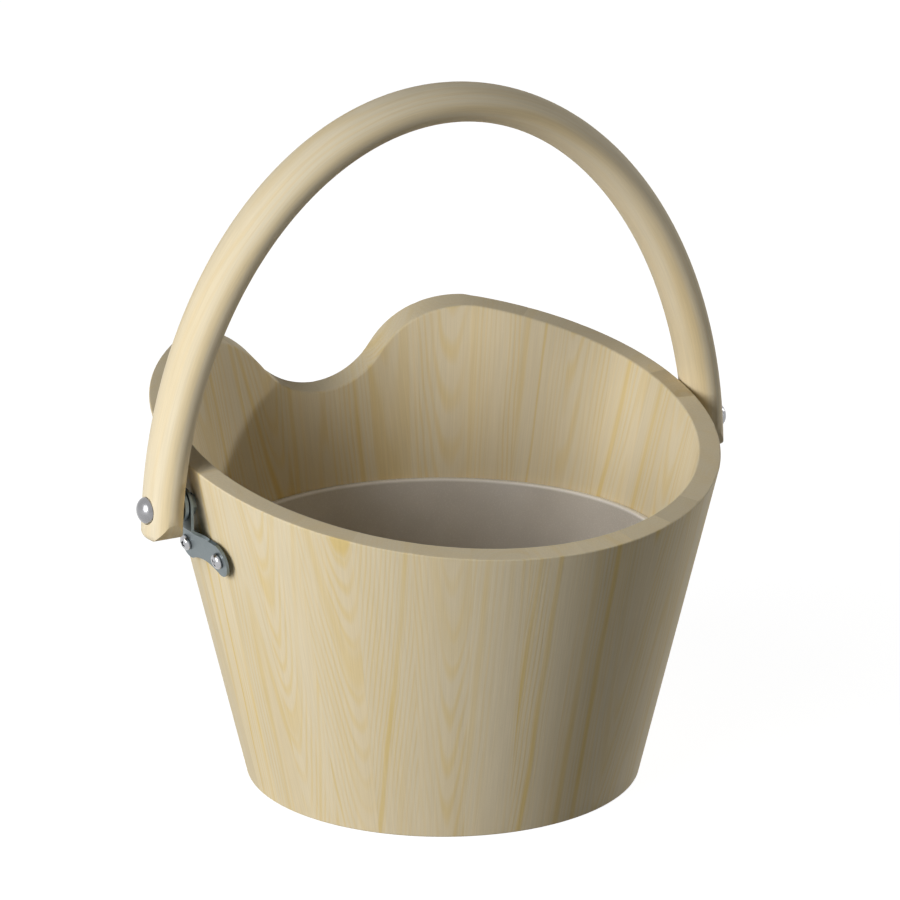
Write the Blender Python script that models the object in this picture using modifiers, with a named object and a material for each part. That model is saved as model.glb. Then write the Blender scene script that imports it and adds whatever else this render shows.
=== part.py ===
"""Sauna bucket: a coopered pine bucket with a slanted rim, a plastic liner and a bent wooden bow.

The pivot axis of the bow runs along X, the low side of the rim faces -Y and the notch is at +Y.
The origin is the centre of the base on the floor. All sizes are in metres.
"""

import math

import bmesh
import bpy
from mathutils import Matrix, Vector

# Wooden bucket
BASE_RADIUS = 0.100
WALL_TAPER = math.radians(13.1)
WALL = 0.0116
STAVE_COUNT = 30
STAVE_STEPS = 4
GLUE_GAP = 0.0003
RIM_HEIGHT = 0.1814
RIM_SLOPE = math.radians(12.4)
RIM_CHAMFER = 0.0012
FOOT_CHAMFER = 0.0008

# Notch at the back of the rim
NOTCH_DROP = 0.0136
NOTCH_RADIUS = 0.043
SHOULDER_RADIUS = 0.063
NOTCH_FLANK = math.radians(52.0)

# Bottom board and the groove that holds it
FIT_GAP = 0.0003
BOARD_HEIGHT = 0.010
BOARD_THICKNESS = 0.010
CROZE_DEPTH = 0.004

# Plastic liner
LINER_SET_DOWN = 0.0375
LINER_WALL = 0.0018
LINER_FLOOR = 0.0022
LINER_CLEARANCE = 0.0022
LINER_LIP = 0.0034
LINER_LIP_CLEARANCE = 0.0005
LINER_CORNER = 0.010

# Pivot and bracket
PIVOT_DROP = 0.0206
SHEET = 0.0015
TONGUE_RADIUS = 0.0086
WEB_RISE = 0.0057
WING_GAP = 0.0010
WING_DROP = 0.0255
LOBE_RADIUS = 0.0081
SCREW_SPREAD = 0.0168
WAIST_DEPTH = 0.0034
WEB_FILLET = 0.0025
BEND_RADIUS = 0.0018

# Fasteners
BOLT_RADIUS = 0.003
BOLT_HEAD_RADIUS = 0.0066
BOLT_HEAD_HEIGHT = 0.0048
BOLT_NECK = 0.003
BOLT_END_CHAMFER = 0.0005
NUT_ACROSS_FLATS = 0.010
NUT_THICKNESS = 0.0032
NUT_WALL_GAP = 0.0004
WASHER_RADIUS = 0.008
WASHER_THICKNESS = 0.0024
SCREW_RADIUS = 0.002
SCREW_LENGTH = 0.0115
SCREW_POINT = 0.003
SCREW_HEAD_RADIUS = 0.004
SCREW_HEAD_HEIGHT = 0.0026

# Bow
BOW_REACH = 0.1910
BOW_THICKNESS = 0.0190
BOW_END_THICKNESS = 0.0180
BOW_WIDTH = 0.0328
BOW_END_WIDTH = 0.0272
BOW_SPRING_DROP = 0.0222
BOW_END_DROP = 0.0018
BOW_END_EASE = 0.004
BOW_SEAT_DEPTH = 0.00125
BOW_SEAT_RADIUS = 0.014
HEAD_SEAT_DEPTH = 0.0010

# Facets
BOW_STATIONS = 44
BOW_SECTION_POINTS = 24
TURN_STEPS = 24
ROUND_STEPS = 60
ARC_STEPS = 8
BEND_STEPS = 4

TAPER = math.tan(WALL_TAPER)
PIVOT_HEIGHT = RIM_HEIGHT - PIVOT_DROP
WING_HEIGHT = PIVOT_HEIGHT - WING_DROP


def wall_radius(z):
    return BASE_RADIUS + z * TAPER


def notch_height(x):
    """Height of the notch curve at x: a hollow arc that runs over into a round shoulder."""
    floor = RIM_HEIGHT - NOTCH_DROP
    across = abs(x)
    turn = NOTCH_RADIUS * math.sin(NOTCH_FLANK)
    if across <= turn:
        return floor + NOTCH_RADIUS - math.sqrt(NOTCH_RADIUS ** 2 - across ** 2)
    shoulder_x = turn + SHOULDER_RADIUS * math.sin(NOTCH_FLANK)
    shoulder_top = floor + (NOTCH_RADIUS + SHOULDER_RADIUS) * (1.0 - math.cos(NOTCH_FLANK))
    inset = max(shoulder_x - across, 0.0)
    return shoulder_top - SHOULDER_RADIUS + math.sqrt(SHOULDER_RADIUS ** 2 - inset ** 2)


def rim_height(x, y):
    slanted = RIM_HEIGHT + y * math.tan(RIM_SLOPE)
    if y > 0.0:
        return min(slanted, notch_height(x))
    return slanted


def rim_point(angle, inset):
    """Radius and height where the rim meets the cone that lies inset inside the outer wall."""
    z = RIM_HEIGHT
    for _ in range(12):
        radius = wall_radius(z) - inset
        z = rim_height(radius * math.sin(angle), -radius * math.cos(angle))
    return wall_radius(z) - inset, z


FRONT_RIM = rim_point(0.0, WALL)[1]
LINER_RIM = FRONT_RIM - LINER_SET_DOWN
BOARD_TOP = BOARD_HEIGHT + BOARD_THICKNESS

# Places along X, from the wall outwards, at the pivot on the right-hand side
NUT_CORNER = NUT_ACROSS_FLATS / math.sqrt(3.0)
NUT_INNER = wall_radius(PIVOT_HEIGHT + NUT_CORNER) + NUT_WALL_GAP
TONGUE_INNER = NUT_INNER + NUT_THICKNESS + FIT_GAP
TONGUE_OUTER = TONGUE_INNER + SHEET
WASHER_INNER = TONGUE_OUTER + FIT_GAP
BOW_SEAT = WASHER_INNER + WASHER_THICKNESS + FIT_GAP
BOW_MIDDLE = BOW_SEAT - BOW_SEAT_DEPTH + BOW_END_THICKNESS / 2.0
HEAD_SEAT = BOW_MIDDLE + BOW_END_THICKNESS / 2.0 - HEAD_SEAT_DEPTH

# Half ellipse that the middle of the bow follows, in the frame of the pivot
BOW_RISE = BOW_REACH - BOW_THICKNESS / 2.0 + BOW_SPRING_DROP
BOW_HALF_SPAN = BOW_MIDDLE / math.sqrt(1.0 - (BOW_SPRING_DROP / BOW_RISE) ** 2)
BOW_END = BOW_END_DROP + BOW_END_WIDTH / 2.0


def clear_scene():
    for item in list(bpy.data.objects):
        bpy.data.objects.remove(item, do_unlink=True)
    for group in list(bpy.data.collections):
        bpy.data.collections.remove(group)


def new_collection(name):
    group = bpy.data.collections.new(name)
    bpy.context.scene.collection.children.link(group)
    return group


def new_material(name, colour, roughness, metallic=0.0):
    material = bpy.data.materials.new(name)
    material.use_nodes = True
    shader = material.node_tree.nodes["Principled BSDF"]
    shader.inputs["Base Color"].default_value = (*colour, 1.0)
    shader.inputs["Roughness"].default_value = roughness
    shader.inputs["Metallic"].default_value = metallic
    return material


def new_empty(name, group, location):
    empty = bpy.data.objects.new(name, None)
    empty.location = location
    empty.empty_display_size = 0.03
    group.objects.link(empty)
    return empty


def finish_part(name, bm, group, material, parent=None):
    """Turn a bmesh into a named, softly shaded object with its own material."""
    mesh = bpy.data.meshes.new(name)
    bm.to_mesh(mesh)
    bm.free()
    part = bpy.data.objects.new(name, mesh)
    group.objects.link(part)
    if material is not None:
        mesh.materials.append(material)
    if mesh.polygons:
        mesh.shade_smooth()
        mesh.set_sharp_from_angle(angle=math.radians(35.0))
    part.parent = parent
    return part


def finish_cutter(name, bm, group, parent=None):
    cutter = finish_part(name, bm, group, None, parent)
    cutter.hide_render = True
    cutter.display_type = "WIRE"
    return cutter


def add_boolean(part, cutter, operation="DIFFERENCE"):
    modifier = part.modifiers.new(cutter.name, "BOOLEAN")
    modifier.object = cutter
    modifier.operation = operation
    modifier.solver = "EXACT"


def add_turning(part, steps):
    """Turn the part's profile round its Z axis."""
    modifier = part.modifiers.new("turned", "SCREW")
    modifier.axis = "Z"
    modifier.steps = steps
    modifier.render_steps = steps
    modifier.use_merge_vertices = True
    modifier.merge_threshold = 0.00001
    modifier.use_smooth_shade = True


def line_of(bm, points, closed):
    """Vertices joined by edges, as an open line or a closed loop."""
    verts = [bm.verts.new(point) for point in points]
    edges = [bm.edges.new(pair) for pair in zip(verts, verts[1:])]
    if closed:
        edges.append(bm.edges.new((verts[-1], verts[0])))
    return edges


def loft(bm, sections):
    """Bridge closed sections of equal count one after another, and close both ends."""
    loops = [line_of(bm, section, closed=True) for section in sections]
    for near, far in zip(loops, loops[1:]):
        bmesh.ops.bridge_loops(bm, edges=near + far)
    for end in (loops[0], loops[-1]):
        bmesh.ops.contextual_create(bm, geom=end)
    bmesh.ops.recalc_face_normals(bm, faces=bm.faces)


def extrude_outline(bm, points, depth):
    """Closed prism from a flat outline, moved through the vector depth."""
    edges = line_of(bm, points, closed=True)
    face = bmesh.ops.contextual_create(bm, geom=edges)["faces"][0]
    grown = bmesh.ops.extrude_face_region(bm, geom=[face])
    moved = [item for item in grown["geom"] if isinstance(item, bmesh.types.BMVert)]
    bmesh.ops.translate(bm, verts=moved, vec=depth)
    bmesh.ops.recalc_face_normals(bm, faces=bm.faces)


def arc(centre, radius, start, end, steps=ARC_STEPS):
    """Points of a flat arc, both ends included."""
    points = []
    for step in range(steps + 1):
        angle = start + (end - start) * step / steps
        points.append((centre[0] + radius * math.cos(angle), centre[1] + radius * math.sin(angle)))
    return points


def round_corners(points, radius):
    """Replace the inner corners of an open flat path by arcs of the given radius."""
    path = [Vector(point) for point in points]
    rounded = [path[0]]
    for before, corner, after in zip(path, path[1:], path[2:]):
        back = (before - corner).normalized()
        forth = (after - corner).normalized()
        half = back.angle(forth) / 2.0
        reach = radius / math.tan(half)
        start = corner + back * reach
        end = corner + forth * reach
        for step in range(BEND_STEPS + 1):
            share = step / BEND_STEPS
            mix = start.lerp(corner, share).lerp(corner.lerp(end, share), share)
            rounded.append(mix)
    rounded.append(path[-1])
    return rounded


def thicken(path, thickness):
    """Closed outline of a strip of even thickness whose middle is the given flat path."""
    left = []
    right = []
    for index, point in enumerate(path):
        before = path[max(index - 1, 0)]
        after = path[min(index + 1, len(path) - 1)]
        along = (after - before).normalized()
        side = Vector((-along.y, along.x)) * (thickness / 2.0)
        left.append(point + side)
        right.append(point - side)
    return left + right[::-1]


def rod_along_x(bm, radius, start, end, height=0.0, segments=TURN_STEPS):
    """Cylinder along X from start to end, at the given height."""
    middle = Matrix.Translation(((start + end) / 2.0, 0.0, height))
    bmesh.ops.create_cone(
        bm,
        cap_ends=True,
        segments=segments,
        radius1=radius,
        radius2=radius,
        depth=end - start,
        matrix=middle @ Matrix.Rotation(math.pi / 2.0, 4, "Y"),
    )


def stave_section(angle, half_angle, share):
    """Section of a stave in the radial plane at share (-1 to 1) of its half width."""
    groove_low = BOARD_HEIGHT - FIT_GAP
    groove_high = BOARD_TOP + FIT_GAP

    def at(radius, z):
        turn = angle + share * (half_angle - GLUE_GAP / (2.0 * radius))
        return Vector((radius * math.sin(turn), -radius * math.cos(turn), z))

    def on_rim(inset):
        turn = angle + share * (half_angle - GLUE_GAP / (2.0 * BASE_RADIUS))
        return rim_point(turn, inset)

    def inner(z):
        return wall_radius(z) - WALL

    outer_rim = on_rim(0.0)[1]
    inner_rim = on_rim(WALL)[1]
    return [
        at(wall_radius(0.0) - FOOT_CHAMFER, 0.0),
        at(wall_radius(FOOT_CHAMFER), FOOT_CHAMFER),
        at(wall_radius(outer_rim - RIM_CHAMFER), outer_rim - RIM_CHAMFER),
        at(*on_rim(RIM_CHAMFER)),
        at(*on_rim(WALL - RIM_CHAMFER)),
        at(inner(inner_rim - RIM_CHAMFER), inner_rim - RIM_CHAMFER),
        at(inner(groove_high), groove_high),
        at(inner(groove_high) + CROZE_DEPTH, groove_high),
        at(inner(groove_high) + CROZE_DEPTH, groove_low),
        at(inner(groove_low), groove_low),
        at(inner(FOOT_CHAMFER), FOOT_CHAMFER),
        at(inner(0.0) + FOOT_CHAMFER, 0.0),
    ]


def stave_angle(index):
    """Angle of a stave's middle, counted from the front towards +X; a joint lies at the front."""
    return (index + 0.5) * 2.0 * math.pi / STAVE_COUNT


def make_stave(index, group, material, parent):
    half_angle = math.pi / STAVE_COUNT
    shares = [2.0 * step / STAVE_STEPS - 1.0 for step in range(STAVE_STEPS + 1)]
    bm = bmesh.new()
    loft(bm, [stave_section(stave_angle(index), half_angle, share) for share in shares])
    return finish_part(f"stave_{index + 1:02d}", bm, group, material, parent)


def make_bottom_board(group, material, parent):
    groove = wall_radius(BOARD_TOP + FIT_GAP) - WALL + CROZE_DEPTH
    radius = (groove - FIT_GAP) * math.cos(math.pi / STAVE_COUNT / STAVE_STEPS)
    chamfer = BOARD_THICKNESS / 10.0
    bm = bmesh.new()
    profile = [
        (0.0, 0.0, BOARD_TOP),
        (radius - chamfer, 0.0, BOARD_TOP),
        (radius, 0.0, BOARD_TOP - chamfer),
        (radius, 0.0, BOARD_HEIGHT + chamfer),
        (radius - chamfer, 0.0, BOARD_HEIGHT),
        (0.0, 0.0, BOARD_HEIGHT),
    ]
    line_of(bm, profile, closed=False)
    board = finish_part("bottom_board", bm, group, material, parent)
    add_turning(board, ROUND_STEPS)
    return board


def make_liner(group, material, parent):
    """Cup that stands on the bottom board; its lip nearly fills the bucket."""
    base = BOARD_TOP + FIT_GAP

    def outer(z):
        return wall_radius(z) - WALL - LINER_CLEARANCE

    lip_radius = wall_radius(LINER_RIM) - WALL - LINER_LIP_CLEARANCE
    lip_low = LINER_RIM - LINER_LIP
    lip_round = LINER_LIP / 3.0
    floor = base + LINER_FLOOR
    foot = outer(base) - LINER_CORNER
    inner_corner = LINER_CORNER - LINER_WALL
    points = [(0.0, floor)]
    points += arc((foot, floor + inner_corner), inner_corner, -math.pi / 2.0, 0.0, 4)
    mouth = outer(LINER_RIM) - LINER_WALL
    points += arc((mouth + lip_round, LINER_RIM - lip_round), lip_round, math.pi, math.pi / 2.0, 3)
    points += arc((lip_radius - lip_round, LINER_RIM - lip_round), lip_round, math.pi / 2.0, 0.0, 3)
    points += [(lip_radius - lip_round * TAPER, lip_low), (outer(lip_low), lip_low)]
    points += arc((foot, base + LINER_CORNER), LINER_CORNER, 0.0, -math.pi / 2.0, 4)
    points += [(0.0, base)]
    bm = bmesh.new()
    line_of(bm, [(radius, 0.0, z - base) for radius, z in points], closed=False)
    liner = finish_part("liner", bm, group, material, parent)
    liner.location = (0.0, 0.0, base)
    add_turning(liner, ROUND_STEPS)
    return liner


def wing_middle(z):
    """Distance from the axis to the middle of the wing's sheet, which lies along the wall."""
    return wall_radius(z) + (WING_GAP + SHEET / 2.0) / math.cos(WALL_TAPER)


def bracket_outline():
    """Outline of the bracket seen along X: two screw lobes, a waist below and a round tongue."""
    top = WING_HEIGHT + LOBE_RADIUS
    centre_gap = (SCREW_SPREAD ** 2 + WAIST_DEPTH ** 2) / (2.0 * WAIST_DEPTH)
    waist_radius = centre_gap - LOBE_RADIUS
    drop = centre_gap - WAIST_DEPTH
    waist_centre = (0.0, WING_HEIGHT - drop)
    lean = math.atan2(drop, SCREW_SPREAD)
    half = arc(waist_centre, waist_radius, math.pi / 2.0, lean, 5)
    half += arc((SCREW_SPREAD, WING_HEIGHT), LOBE_RADIUS, math.pi + lean, 2.5 * math.pi, 14)[1:]
    fillet = (TONGUE_RADIUS + WEB_FILLET, top + WEB_FILLET)
    half += arc(fillet, WEB_FILLET, 1.5 * math.pi, math.pi, 4)
    half += arc((0.0, PIVOT_HEIGHT), TONGUE_RADIUS, 0.0, math.pi / 2.0)
    other = [(-y, z) for y, z in half[-2:0:-1]]
    return half + other


def make_bracket(side, sign, group, cutters, material, parent):
    """Joggled strip of sheet, trimmed to the bracket's outline and drilled."""
    top = WING_HEIGHT + LOBE_RADIUS
    tongue_x = TONGUE_INNER + SHEET / 2.0
    low = WING_HEIGHT - 2.0 * LOBE_RADIUS
    high = PIVOT_HEIGHT + 2.0 * TONGUE_RADIUS
    path = [
        (wing_middle(low), low),
        (wing_middle(top), top),
        (tongue_x, top + WEB_RISE),
        (tongue_x, high),
    ]
    half_width = SCREW_SPREAD + 2.0 * LOBE_RADIUS
    bm = bmesh.new()
    strip = thicken(round_corners(path, BEND_RADIUS), SHEET)
    extrude_outline(
        bm,
        [(sign * x, -half_width, z) for x, z in strip],
        Vector((0.0, 2.0 * half_width, 0.0)),
    )
    bracket = finish_part(f"bracket_{side}", bm, group, material, parent)

    bm = bmesh.new()
    reach = TONGUE_OUTER + BOW_THICKNESS
    extrude_outline(
        bm,
        [(sign * reach / 2.0, y, z) for y, z in bracket_outline()],
        Vector((sign * reach, 0.0, 0.0)),
    )
    add_boolean(bracket, finish_cutter(f"trim_{side}", bm, cutters), "INTERSECT")

    bm = bmesh.new()
    start, end = sorted((sign * wall_radius(0.0), sign * reach))
    rod_along_x(bm, BOLT_RADIUS + FIT_GAP, start, end, PIVOT_HEIGHT)
    add_boolean(bracket, finish_cutter(f"pivot_hole_{side}", bm, cutters))
    return bracket


def screw_frame(sign, way):
    """Place and turn of a screw: its +Z points out of the wing, its origin is under the head."""
    seat = wing_middle(WING_HEIGHT) + (SHEET / 2.0 + FIT_GAP) / math.cos(WALL_TAPER)
    turn = Matrix.Rotation(sign * (math.pi / 2.0 + WALL_TAPER), 4, "Y")
    return Matrix.Translation((sign * seat, way * SCREW_SPREAD, WING_HEIGHT)) @ turn


def make_screw(side, end, frame, group, cutters, material, parent):
    """Pan-head wood screw, and the hole that it leaves in the wing and the wall."""
    round_over = SCREW_HEAD_HEIGHT / 2.0
    crown = arc((SCREW_HEAD_RADIUS - round_over, round_over), round_over, math.pi / 2.0, 0.0, 3)
    profile = [(0.0, SCREW_HEAD_HEIGHT)]
    profile += crown
    profile += [
        (SCREW_HEAD_RADIUS, 0.0),
        (SCREW_RADIUS, 0.0),
        (SCREW_RADIUS, SCREW_POINT - SCREW_LENGTH),
        (0.0, -SCREW_LENGTH),
    ]
    bm = bmesh.new()
    line_of(bm, [(radius, 0.0, z) for radius, z in profile], closed=False)
    screw = finish_part(f"screw_{side}_{end}", bm, group, material, parent)
    screw.matrix_local = frame
    add_turning(screw, TURN_STEPS)

    bm = bmesh.new()
    top = SCREW_HEAD_HEIGHT
    bottom = -SCREW_LENGTH - FIT_GAP
    bmesh.ops.create_cone(
        bm,
        cap_ends=True,
        segments=TURN_STEPS // 2,
        radius1=SCREW_RADIUS + FIT_GAP,
        radius2=SCREW_RADIUS + FIT_GAP,
        depth=top - bottom,
        matrix=frame @ Matrix.Translation((0.0, 0.0, (top + bottom) / 2.0)),
    )
    return finish_cutter(f"screw_hole_{side}_{end}", bm, cutters)


def bow_section(turn):
    """Oval section at an angle along the bow's half ellipse, widest at the top, in the pivot's frame."""
    middle = Vector((BOW_HALF_SPAN * math.cos(turn), BOW_RISE * math.sin(turn) - BOW_SPRING_DROP))
    along = Vector((-BOW_HALF_SPAN * math.sin(turn), BOW_RISE * math.cos(turn))).normalized()
    outward = Vector((along.y, -along.x))
    near_end = max(BOW_END_EASE - (middle.y + BOW_END), 0.0)
    ease = BOW_END_EASE - math.sqrt(max(BOW_END_EASE ** 2 - near_end ** 2, 0.0))
    height = max(middle.y, 0.0) / (BOW_RISE - BOW_SPRING_DROP)
    half_thickness = (BOW_END_THICKNESS + (BOW_THICKNESS - BOW_END_THICKNESS) * height) / 2.0 - ease
    half_width = (BOW_END_WIDTH + (BOW_WIDTH - BOW_END_WIDTH) * height) / 2.0
    section = []
    for step in range(BOW_SECTION_POINTS):
        angle = 2.0 * math.pi * step / BOW_SECTION_POINTS
        spot = middle + outward * (half_thickness * math.cos(angle))
        section.append(Vector((spot.x, half_width * math.sin(angle), spot.y)))
    return section


def make_bow(group, cutters, material, pivot):
    """Bent bow: swept oval with rounded ends, seats and bores cut along the pivot axis."""
    end_turn = math.asin((BOW_SPRING_DROP - BOW_END) / BOW_RISE)
    ease_turn = BOW_END_EASE / BOW_RISE
    turns = [end_turn + ease_turn * step / 3.0 for step in range(3)]
    first = end_turn + ease_turn
    span = math.pi - 2.0 * first
    turns += [first + span * step / BOW_STATIONS for step in range(BOW_STATIONS + 1)]
    turns += [math.pi - turn for turn in turns[2::-1]]
    bm = bmesh.new()
    loft(bm, [bow_section(turn) for turn in turns])
    bow = finish_part("handle_bow", bm, group, material, pivot)

    reach = BOW_HALF_SPAN + BOW_WIDTH
    bm = bmesh.new()
    outline = [(-BOW_WIDTH, -BOW_END_DROP)]
    outline += arc((0.0, -BOW_END_DROP), BOW_END_WIDTH / 2.0, math.pi, 2.0 * math.pi, 16)
    outline += [(BOW_WIDTH, -BOW_END_DROP), (BOW_WIDTH, -BOW_WIDTH), (-BOW_WIDTH, -BOW_WIDTH)]
    extrude_outline(bm, [(-reach, y, z) for y, z in outline], Vector((2.0 * reach, 0.0, 0.0)))
    add_boolean(bow, finish_cutter("bow_end_round", bm, cutters, pivot))

    bm = bmesh.new()
    rod_along_x(bm, BOW_SEAT_RADIUS, -BOW_SEAT, BOW_SEAT)
    add_boolean(bow, finish_cutter("washer_seat", bm, cutters, pivot))

    bm = bmesh.new()
    rod_along_x(bm, BOLT_RADIUS + FIT_GAP, -reach, reach)
    add_boolean(bow, finish_cutter("bolt_bore", bm, cutters, pivot))

    for side, sign in (("left", -1.0), ("right", 1.0)):
        start, end = sorted((sign * HEAD_SEAT, sign * reach))
        bm = bmesh.new()
        rod_along_x(bm, BOLT_HEAD_RADIUS + FIT_GAP, start, end)
        add_boolean(bow, finish_cutter(f"head_seat_{side}", bm, cutters, pivot))
        start, end = sorted((sign * (HEAD_SEAT - BOLT_NECK - FIT_GAP), sign * (HEAD_SEAT + BOLT_NECK)))
        width = 2.0 * (BOLT_RADIUS + 2.0 * FIT_GAP)
        middle = Matrix.Translation(((start + end) / 2.0, 0.0, 0.0))
        block = Matrix.Diagonal((end - start, width, width, 1.0))
        bm = bmesh.new()
        bmesh.ops.create_cube(bm, size=1.0, matrix=middle @ block)
        add_boolean(bow, finish_cutter(f"neck_seat_{side}", bm, cutters, pivot))
    return bow


def make_bolt(side, sign, group, cutters, material, pivot):
    """Coach bolt with a domed head outside, a square neck in the wood and its end in the nut."""
    seat = HEAD_SEAT + FIT_GAP
    length = seat - NUT_INNER
    ball = (BOLT_HEAD_RADIUS ** 2 + BOLT_HEAD_HEIGHT ** 2) / (2.0 * BOLT_HEAD_HEIGHT)
    spread = math.asin(BOLT_HEAD_RADIUS / ball)
    dome = arc((0.0, BOLT_HEAD_HEIGHT - ball), ball, math.pi / 2.0, math.pi / 2.0 - spread, 6)
    profile = [(0.0, BOLT_HEAD_HEIGHT)]
    profile += dome[1:]
    profile += [
        (BOLT_RADIUS, 0.0),
        (BOLT_RADIUS, BOLT_END_CHAMFER - length),
        (BOLT_RADIUS - BOLT_END_CHAMFER, -length),
        (0.0, -length),
    ]
    turn = Matrix.Rotation(sign * math.pi / 2.0, 4, "Y")
    place = Matrix.Translation((sign * seat, 0.0, 0.0)) @ turn
    bm = bmesh.new()
    line_of(bm, [(radius, 0.0, z) for radius, z in profile], closed=False)
    bolt = finish_part(f"bolt_{side}", bm, group, material, pivot)
    bolt.matrix_local = place
    add_turning(bolt, TURN_STEPS)

    bm = bmesh.new()
    width = 2.0 * (BOLT_RADIUS + FIT_GAP)
    depth = BOLT_NECK + BOLT_HEAD_HEIGHT / 4.0
    middle = Matrix.Translation((0.0, 0.0, BOLT_HEAD_HEIGHT / 4.0 - depth / 2.0))
    bmesh.ops.create_cube(bm, size=1.0, matrix=place @ middle @ Matrix.Diagonal((width, width, depth, 1.0)))
    add_boolean(bolt, finish_cutter(f"bolt_neck_{side}", bm, cutters, pivot), "UNION")
    return bolt


def make_washer(side, sign, group, material, pivot):
    hole = BOLT_RADIUS + FIT_GAP
    half = WASHER_THICKNESS / 2.0
    bm = bmesh.new()
    corners = [(hole, half), (WASHER_RADIUS, half), (WASHER_RADIUS, -half), (hole, -half)]
    line_of(bm, [(radius, 0.0, z) for radius, z in corners], closed=True)
    washer = finish_part(f"washer_{side}", bm, group, material, pivot)
    washer.rotation_euler = (0.0, math.pi / 2.0, 0.0)
    washer.location = (sign * (WASHER_INNER + half), 0.0, 0.0)
    add_turning(washer, TURN_STEPS)
    return washer


def make_nut(side, sign, group, cutters, material, pivot):
    start, end = sorted((sign * NUT_INNER, sign * (NUT_INNER + NUT_THICKNESS)))
    bm = bmesh.new()
    rod_along_x(bm, NUT_CORNER, start, end, segments=6)
    nut = finish_part(f"nut_{side}", bm, group, material, pivot)
    bm = bmesh.new()
    rod_along_x(bm, BOLT_RADIUS + FIT_GAP, start - NUT_THICKNESS, end + NUT_THICKNESS)
    add_boolean(nut, finish_cutter(f"nut_bore_{side}", bm, cutters, pivot))
    return nut


def staves_under(angle, reach):
    """Numbers of the staves that a hole of the given angular reach touches."""
    half_angle = math.pi / STAVE_COUNT
    found = []
    for index in range(STAVE_COUNT):
        away = (stave_angle(index) - angle + math.pi) % (2.0 * math.pi) - math.pi
        if abs(away) < half_angle + reach:
            found.append(index)
    return found


def build():
    clear_scene()
    parts = new_collection("sauna_bucket")
    cutters = new_collection("cutters")
    wood = (0.72, 0.60, 0.38)
    steel = (0.27, 0.31, 0.33)

    bucket = new_empty("bucket", parts, (0.0, 0.0, 0.0))
    pivot = new_empty("handle_pivot", parts, (0.0, 0.0, PIVOT_HEIGHT))

    staves = []
    for index in range(STAVE_COUNT):
        shade = 1.0 - 0.06 * (index * 7 % 5) / 4.0
        pine = new_material(f"pine_stave_{index + 1:02d}", [shade * part for part in wood], 0.5)
        staves.append(make_stave(index, parts, pine, bucket))
    make_bottom_board(parts, new_material("pine_board", wood, 0.6), bucket)
    make_liner(parts, new_material("taupe_plastic", (0.23, 0.19, 0.165), 0.35), bucket)
    make_bow(parts, cutters, new_material("pine_bow", wood, 0.45), pivot)

    for side, sign in (("left", -1.0), ("right", 1.0)):
        zinc = new_material(f"zinc_steel_{side}", steel, 0.4, 1.0)
        bracket = make_bracket(side, sign, parts, cutters, zinc, bucket)
        for end, way in (("front", -1.0), ("back", 1.0)):
            chrome = new_material(f"chrome_screw_{side}_{end}", (0.75, 0.75, 0.76), 0.15, 1.0)
            frame = screw_frame(sign, way)
            hole = make_screw(side, end, frame, parts, cutters, chrome, bucket)
            add_boolean(bracket, hole)
            place = frame.translation
            reach = (SCREW_RADIUS + FIT_GAP) / BASE_RADIUS
            for index in staves_under(math.atan2(place.x, -place.y), reach):
                add_boolean(staves[index], hole)
        plated = new_material(f"bolt_steel_{side}", (0.42, 0.42, 0.45), 0.3, 1.0)
        make_bolt(side, sign, parts, cutters, plated, pivot)
        make_washer(side, sign, parts, new_material(f"washer_steel_{side}", steel, 0.4, 1.0), pivot)
        make_nut(side, sign, parts, cutters, new_material(f"nut_steel_{side}", steel, 0.4, 1.0), pivot)


build()
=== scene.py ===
import math
import random

import bmesh
import bpy
from mathutils import Matrix, Vector


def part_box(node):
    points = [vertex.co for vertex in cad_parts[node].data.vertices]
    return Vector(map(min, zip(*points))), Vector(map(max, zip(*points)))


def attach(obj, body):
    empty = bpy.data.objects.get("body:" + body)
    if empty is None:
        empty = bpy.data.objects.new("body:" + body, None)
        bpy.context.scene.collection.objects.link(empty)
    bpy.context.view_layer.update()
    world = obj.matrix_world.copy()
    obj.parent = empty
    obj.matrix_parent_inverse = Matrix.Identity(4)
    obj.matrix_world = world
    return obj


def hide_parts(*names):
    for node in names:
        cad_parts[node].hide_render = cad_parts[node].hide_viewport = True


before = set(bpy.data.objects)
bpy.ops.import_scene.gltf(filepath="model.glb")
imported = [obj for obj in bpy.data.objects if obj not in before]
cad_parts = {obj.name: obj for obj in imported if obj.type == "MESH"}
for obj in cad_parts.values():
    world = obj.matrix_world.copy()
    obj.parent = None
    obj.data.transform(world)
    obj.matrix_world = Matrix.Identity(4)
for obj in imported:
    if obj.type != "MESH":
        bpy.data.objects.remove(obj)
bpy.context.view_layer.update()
scene = bpy.context.scene
scene.view_settings.view_transform = "Standard"
print("frame loaded:", len(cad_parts), "nodes")

sides = {"left": -1.0, "right": 1.0}
weldGap = 1e-7
nearZero = 1e-6


# mesh helpers

def drawLine(bm, points, closed=False):
    verts = [bm.verts.new(point) for point in points]
    ends = zip(verts, verts[1:] + verts[:1] if closed else verts[1:])
    return verts, [bm.edges.new(pair) for pair in ends]


def arcPoints(centre, radius, start, end, steps):
    turns = [start + (end - start) * step / steps for step in range(steps + 1)]
    return [(centre[0] + radius * math.cos(turn), centre[1] + radius * math.sin(turn)) for turn in turns]


def turnProfile(bm, points, steps, place=Matrix()):
    # points are (radius, height) pairs; the profile is turned round Z and then put in its place
    verts, edges = drawLine(bm, [(radius, 0.0, height) for radius, height in points])
    bmesh.ops.spin(bm, geom=verts + edges, cent=(0, 0, 0), axis=(0, 0, 1), angle=2.0 * math.pi,
                   steps=steps, use_merge=True)
    bmesh.ops.remove_doubles(bm, verts=bm.verts, dist=nearZero)
    bmesh.ops.transform(bm, matrix=place, verts=bm.verts)


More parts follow.
